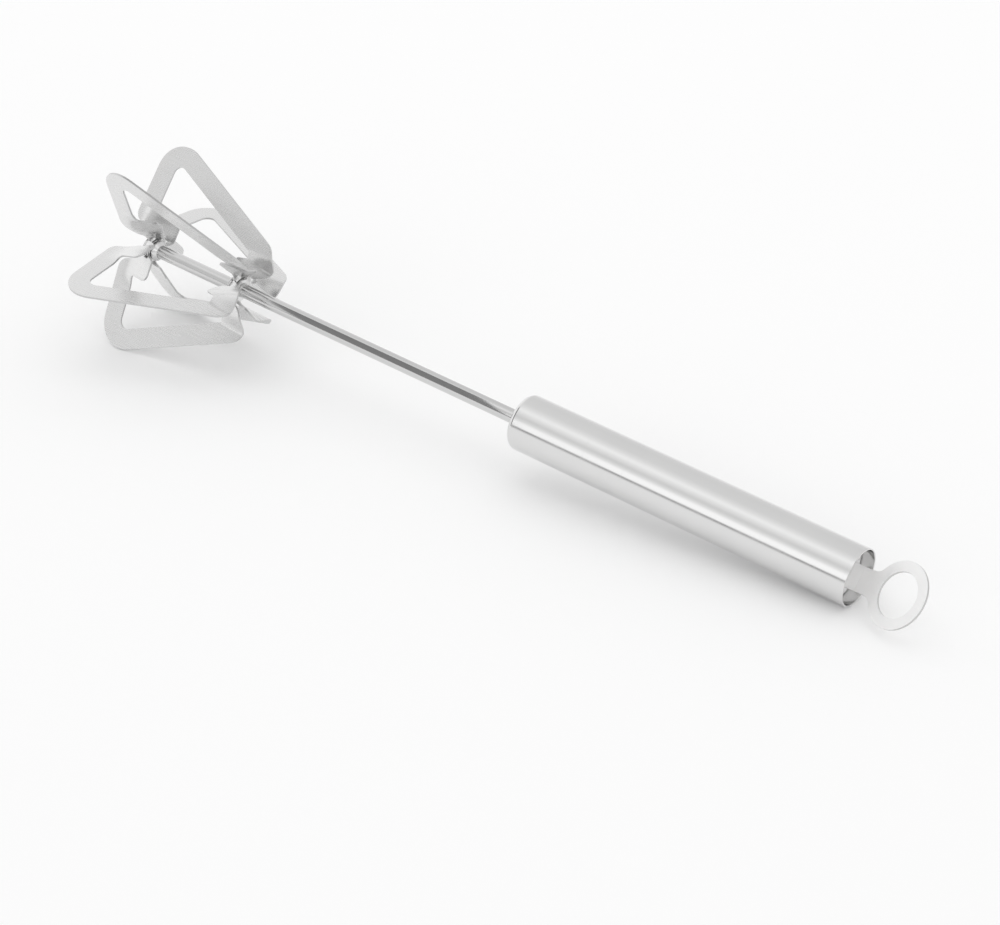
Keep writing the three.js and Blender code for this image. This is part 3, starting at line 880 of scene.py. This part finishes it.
def steel(name, level, roughness, grain, smudge=(60, 60, 60), grain_depth=0.000004, contrast=0.04):
    """Worked steel: fine grain along one direction, soft smudges and a few longer scratches."""
    n = Nodes(name)
    n.shader.inputs["Metallic"].default_value = 1.0
    fine = n.noise(grain, detail=4.0)
    cloud = n.noise(smudge, detail=2.0)
    scratch_scale = tuple(s * 0.22 for s in grain)
    scratch = n.spread(n.noise(scratch_scale, detail=1.0), 0.0, 1.0, 0.68, 0.74)
    base = n.tint(
        n.math("ADD", n.math("MULTIPLY", fine, 0.6), n.math("MULTIPLY", cloud, 0.4)),
        grey(level * (1 - contrast)),
        grey(level * (1 + contrast), 0.004),
    )
    n.link(base, n.shader.inputs["Base Color"])
    rough = n.math("ADD", n.spread(fine, roughness * 0.8, roughness * 1.25), n.spread(cloud, 0.0, 0.05))
    rough = n.math("ADD", rough, n.math("MULTIPLY", scratch, 0.08))
    n.link(rough, n.shader.inputs["Roughness"])
    height = n.math("SUBTRACT", fine, n.math("MULTIPLY", scratch, 0.6))
    n.bump(height, 0.35, grain_depth)
    return n.material


def moulded(name, dark, light, roughness, texture=2600, depth=0.00002):
    """Moulded plastic or rubber: slight colour drift, a fine eroded surface and flow marks."""
    n = Nodes(name)
    drift = n.noise((90, 90, 90), detail=3.0)
    pores = n.noise((texture, texture, texture), detail=2.0)
    flow = n.noise((500, 120, 120), detail=2.0)
    mixed = n.math("ADD", n.math("MULTIPLY", drift, 0.7), n.math("MULTIPLY", pores, 0.3))
    n.link(n.tint(mixed, dark, light), n.shader.inputs["Base Color"])
    n.link(n.spread(flow, roughness * 0.85, roughness * 1.15), n.shader.inputs["Roughness"])
    n.bump(n.math("ADD", pores, n.math("MULTIPLY", flow, 0.4)), 0.3, depth)
    n.shader.inputs["Specular IOR Level"].default_value = 0.5
    return n.material


def make_materials():
    around = (5200, 90, 90)
    along = (60, 4200, 4200)
    rolled = (70, 70, 3600)
    return {
        "handle": steel("handle_steel", 0.74, 0.12, around),
        "sheet": steel("sheet_steel_face", 0.76, 0.25, rolled, grain_depth=0.0000016, contrast=0.02),
        "hanger": steel("hanger_face", 0.97, 0.62, rolled, grain_depth=0.0000012, contrast=0.015),
        "edge": steel("sheared_edge", 0.6, 0.36, (2600, 2600, 2600), grain_depth=0.00001),
        "shaft": steel("polished_shaft", 0.66, 0.07, (3800, 70, 70)),
        "bright": steel("turned_steel", 0.72, 0.12, (4200, 120, 120)),
        "spring": steel("spring_wire", 0.42, 0.24, along),
        "white": moulded("white_nylon", grey(0.74, 0.01), grey(0.84, 0.012), 0.42),
        "plug": moulded("grey_moulding", grey(0.88, 0.004), grey(0.95, 0.006), 0.48),
        "rubber": moulded("black_rubber_ring", grey(0.018), grey(0.035), 0.7),
    }


# ---- Stage ---------------------------------------------------------------------------------------
FLOOR_SIZE = 12.0
FLOOR_LEVEL = 0.965
BACKDROP_LEVEL = 0.98


def make_floor():
    bm = bmesh.new()
    bmesh.ops.create_grid(bm, x_segments=1, y_segments=1, size=FLOOR_SIZE / 2)
    mesh = bpy.data.meshes.new("floor")
    bm.to_mesh(mesh)
    bm.free()
    floor = bpy.data.objects.new("floor", mesh)
    bpy.context.scene.collection.objects.link(floor)
    n = Nodes("pale_floor")
    drift = n.noise((1.5, 1.5, 1.5), detail=2.0)
    level = n.tint(drift, grey(FLOOR_LEVEL * 0.995), grey(FLOOR_LEVEL * 1.005))
    n.link(level, n.shader.inputs["Base Color"])
    n.shader.inputs["Roughness"].default_value = 0.9
    n.shader.inputs["Specular IOR Level"].default_value = 0.0
    floor.data.materials.append(n.material)


# A dark card beside the shaft: its ends along X in metres, its angles about the shaft in degrees (0 is
# level towards the camera's side, 90 is up), its distance in metres and its own brightness.
FLAG_ENDS = (-0.225, -0.095)
FLAG_ANGLES = (2, 86)
FLAG_R = 0.2
FLAG_LEVEL = 0.22
SHAFT_HEIGHT = 0.028  # metres, the height the card is centred on

# Brightness of the studio by angle about the shaft: 0 is level towards the camera's side, 90 is up
# and 180 is level behind. The lower half is the table's own tone.
STUDIO_BANDS = [
    (-180, 0.86),
    (-4, 0.90),
    (0, 0.86),
    (4.5, 0.50),
    (6.5, 0.16),
    (8.5, 0.50),
    (11, 1.26),
    (28, 1.24),
    (36, 0.95),
    (48, 0.78),
    (58, 0.92),
    (76, 1.14),
    (90, 0.96),
    (106, 0.84),
    (150, 0.80),
    (180, 0.84),
]
# The same towards the tip, where the light is more even.
TIP_BANDS = [(-180, 0.92), (0, 0.80), (12, 0.66), (40, 0.66), (70, 0.88), (120, 1.02), (180, 1.0)]
HANGER_GLOW = 1.1  # level of the light that the hanger faces
# Each pair is where along the direction's x the light starts and ends its change.
TIP_FADE = (-0.47, -0.60)
HANGER_FADE = (-0.72, -0.82)

KEY_PLACE = (-0.3, 0.5, 1.8)
KEY_AIM = (0, 0, 0)
KEY_SIZE = 2.0
KEY_POWER = 4


def ramp(tree, angle, bands):
    node = tree.nodes.new("ShaderNodeValToRGB")
    node.color_ramp.interpolation = "LINEAR"
    elements = node.color_ramp.elements
    while len(elements) > 1:
        elements.remove(elements[-1])
    for i, (degrees, level) in enumerate(bands):
        position = (degrees + 180) / 360
        element = elements[0] if i == 0 else elements.new(position)
        element.position = position
        element.color = (level, level, level, 1)
    tree.links.new(angle, node.inputs["Fac"])
    return node.outputs["Color"]


def faded(tree, x, ends, before, after):
    """The first colour before the fade and the second after it."""
    share = tree.nodes.new("ShaderNodeMapRange")
    share.interpolation_type = "SMOOTHSTEP"
    share.inputs["From Min"].default_value = ends[0]
    share.inputs["From Max"].default_value = ends[1]
    tree.links.new(x, share.inputs["Value"])
    mix = tree.nodes.new("ShaderNodeMix")
    mix.data_type = "RGBA"
    tree.links.new(share.outputs["Result"], mix.inputs[0])
    tree.links.new(before, mix.inputs[6])
    if isinstance(after, tuple):
        mix.inputs[7].default_value = after
    else:
        tree.links.new(after, mix.inputs[7])
    return mix.outputs[2]


def make_world():
    """A studio whose softboxes and gaps show in the metal, in front of a plain pale backdrop."""
    world = bpy.data.worlds.new("studio")
    bpy.context.scene.world = world
    world.use_nodes = True
    tree = world.node_tree
    tree.nodes.clear()

    def maths(operation, *values):
        node = tree.nodes.new("ShaderNodeMath")
        node.operation = operation
        for socket, value in zip(node.inputs, values):
            if isinstance(value, (int, float)):
                socket.default_value = value
            else:
                tree.links.new(value, socket)
        return node.outputs["Value"]

    direction = tree.nodes.new("ShaderNodeTexCoord").outputs["Generated"]
    axes = tree.nodes.new("ShaderNodeSeparateXYZ")
    tree.links.new(direction, axes.inputs["Vector"])
    x, y, z = axes.outputs
    turn = maths("ARCTAN2", z, maths("MULTIPLY", y, -1.0))
    share = maths("ADD", maths("DIVIDE", turn, 2 * math.pi), 0.5)
    along = ramp(tree, share, STUDIO_BANDS)
    light = faded(tree, x, TIP_FADE, along, ramp(tree, share, TIP_BANDS))
    light = faded(tree, x, HANGER_FADE, light, (*grey(HANGER_GLOW), 1))
    studio = tree.nodes.new("ShaderNodeBackground")
    tree.links.new(light, studio.inputs["Color"])
    studio.inputs["Strength"].default_value = 1.0
    backdrop = tree.nodes.new("ShaderNodeBackground")
    backdrop.inputs["Color"].default_value = (*grey(BACKDROP_LEVEL), 1)
    light_path = tree.nodes.new("ShaderNodeLightPath")
    choose = tree.nodes.new("ShaderNodeMixShader")
    tree.links.new(light_path.outputs["Is Camera Ray"], choose.inputs[0])
    tree.links.new(studio.outputs[0], choose.inputs[1])
    tree.links.new(backdrop.outputs[0], choose.inputs[2])
    output = tree.nodes.new("ShaderNodeOutputWorld")
    tree.links.new(choose.outputs[0], output.inputs["Surface"])


def make_lamp(name, place, aim, size, power):
    """A soft square lamp that lights the table but doesn't show in the metal."""
    data = bpy.data.lights.new(name, "AREA")
    data.size = size
    data.energy = power
    lamp = bpy.data.objects.new(name, data)
    bpy.context.scene.collection.objects.link(lamp)
    lamp.location = place
    lamp.rotation_mode = "QUATERNION"
    lamp.rotation_quaternion = (Vector(aim) - Vector(place)).to_track_quat("-Z", "Y")
    lamp.visible_glossy = False


def make_flag():
    """A dark curved card in front of the bare shaft, seen only in the metal's reflections."""
    bm = bmesh.new()
    rows = []
    for x in FLAG_ENDS:
        angles = [math.radians(a) for a in stepped(*FLAG_ANGLES, 6)]
        rows.append([(x, -FLAG_R * math.cos(a), SHAFT_HEIGHT + FLAG_R * math.sin(a)) for a in angles])
    grid(bm, rows)
    mesh = bpy.data.meshes.new("flag")
    bm.to_mesh(mesh)
    bm.free()
    flag = bpy.data.objects.new("flag", mesh)
    bpy.context.scene.collection.objects.link(flag)
    n = Nodes("flag_cloth")
    n.shader.inputs["Base Color"].default_value = (*grey(0.02), 1)
    n.shader.inputs["Emission Color"].default_value = (*grey(1.0), 1)
    n.shader.inputs["Emission Strength"].default_value = FLAG_LEVEL
    flag.data.materials.append(n.material)
    for ray in ("camera", "diffuse", "shadow", "transmission", "volume_scatter"):
        setattr(flag, f"visible_{ray}", False)


def make_camera():
    azimuth = math.radians(CAMERA_AZIMUTH)
    elevation = math.radians(CAMERA_ELEVATION)
    level = math.cos(elevation)
    back = Vector((math.sin(azimuth) * level, -math.cos(azimuth) * level, math.sin(elevation)))
    data = bpy.data.cameras.new("camera")
    data.lens = CAMERA_LENS
    data.sensor_width = 36.0
    data.clip_start = 0.01
    data.clip_end = 100.0
    camera = bpy.data.objects.new("camera", data)
    bpy.context.scene.collection.objects.link(camera)
    camera.location = CAMERA_AIM + back * CAMERA_DISTANCE
    camera.rotation_mode = "QUATERNION"
    roll = Quaternion((0, 0, 1), math.radians(CAMERA_ROLL))
    camera.rotation_quaternion = (-back).to_track_quat("-Z", "Y") @ roll
    bpy.context.scene.camera = camera


# ---- Assembly ------------------------------------------------------------------------------------
def place(obj, body, node, slot, material=None):
    if material is not None:
        obj.data.materials.clear()
        obj.data.materials.append(material)
    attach(obj, body)
    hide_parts(node)
    return obj


def build_shaft_body(looks):
    sheet = (looks["sheet"], looks["edge"])
    for layer in range(BLADE_PAIRS):
        place(double_blade(layer, sheet), "shaft", f"double_blade_{layer + 1}", "sheet_steel")
    place(washer("shaft_pipe", "shaft_tube", 0.12), "shaft", "shaft_tube", "bright_steel", looks["shaft"])
    place(rivet(), "shaft", "tip_rivet", "bright_steel", looks["bright"])
    cap = washer("tip_cap_washer", "tip_washer", 0.12)
    place(cap, "shaft", "tip_washer", "bright_steel", looks["bright"])
    for end in ("tip", "rear"):
        node = f"{end}_hub_collar"
        place(hub_collar(f"{end}_collar", node), "shaft", node, "bright_steel", looks["bright"])
    place(drive_nut(), "shaft", "drive_nut", "white_plastic", looks["white"])


def build_seat_body(looks):
    thrust = washer("slip_washer", "thrust_washer", 0.12)
    place(thrust, "spring_seat", "thrust_washer", "bright_steel", looks["bright"])
    place(spring_cup(), "spring_seat", "spring_cup", "white_plastic", looks["white"])


def build_handle_body(looks):
    place(handle_tube(), "handle", "handle_tube", "brushed_steel", looks["handle"])
    place(nose_bush(), "handle", "nose_bush", "white_plastic", looks["white"])
    place(washer("stop_ring", "stop_washer", 0.4), "handle", "stop_washer", "black_rubber", looks["rubber"])
    place(
        washer("rear_seat_washer", "rear_spring_washer", 0.12),
        "handle",
        "rear_spring_washer",
        "bright_steel",
        looks["bright"],
    )
    place(drive_strip(), "handle", "drive_strip", "bright_steel", looks["bright"])
    place(end_plug(), "handle", "end_plug", "grey_plastic", looks["plug"])
    place(pin(), "handle", "anchor_pin", "bright_steel", looks["bright"])
    hanger = hanger_plate((looks["hanger"], looks["edge"]))
    place(hanger, "handle", "hanger_plate", "sheet_steel")
    spring = place(return_spring(), "handle", "return_spring", "spring_steel", looks["spring"])
    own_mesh(spring)


make_camera()
looks = make_materials()
build_shaft_body(looks)
build_seat_body(looks)
build_handle_body(looks)
make_floor()
make_world()
make_flag()
make_lamp("key_softbox", KEY_PLACE, KEY_AIM, KEY_SIZE, KEY_POWER)
bpy.context.scene.view_settings.view_transform = "Standard"
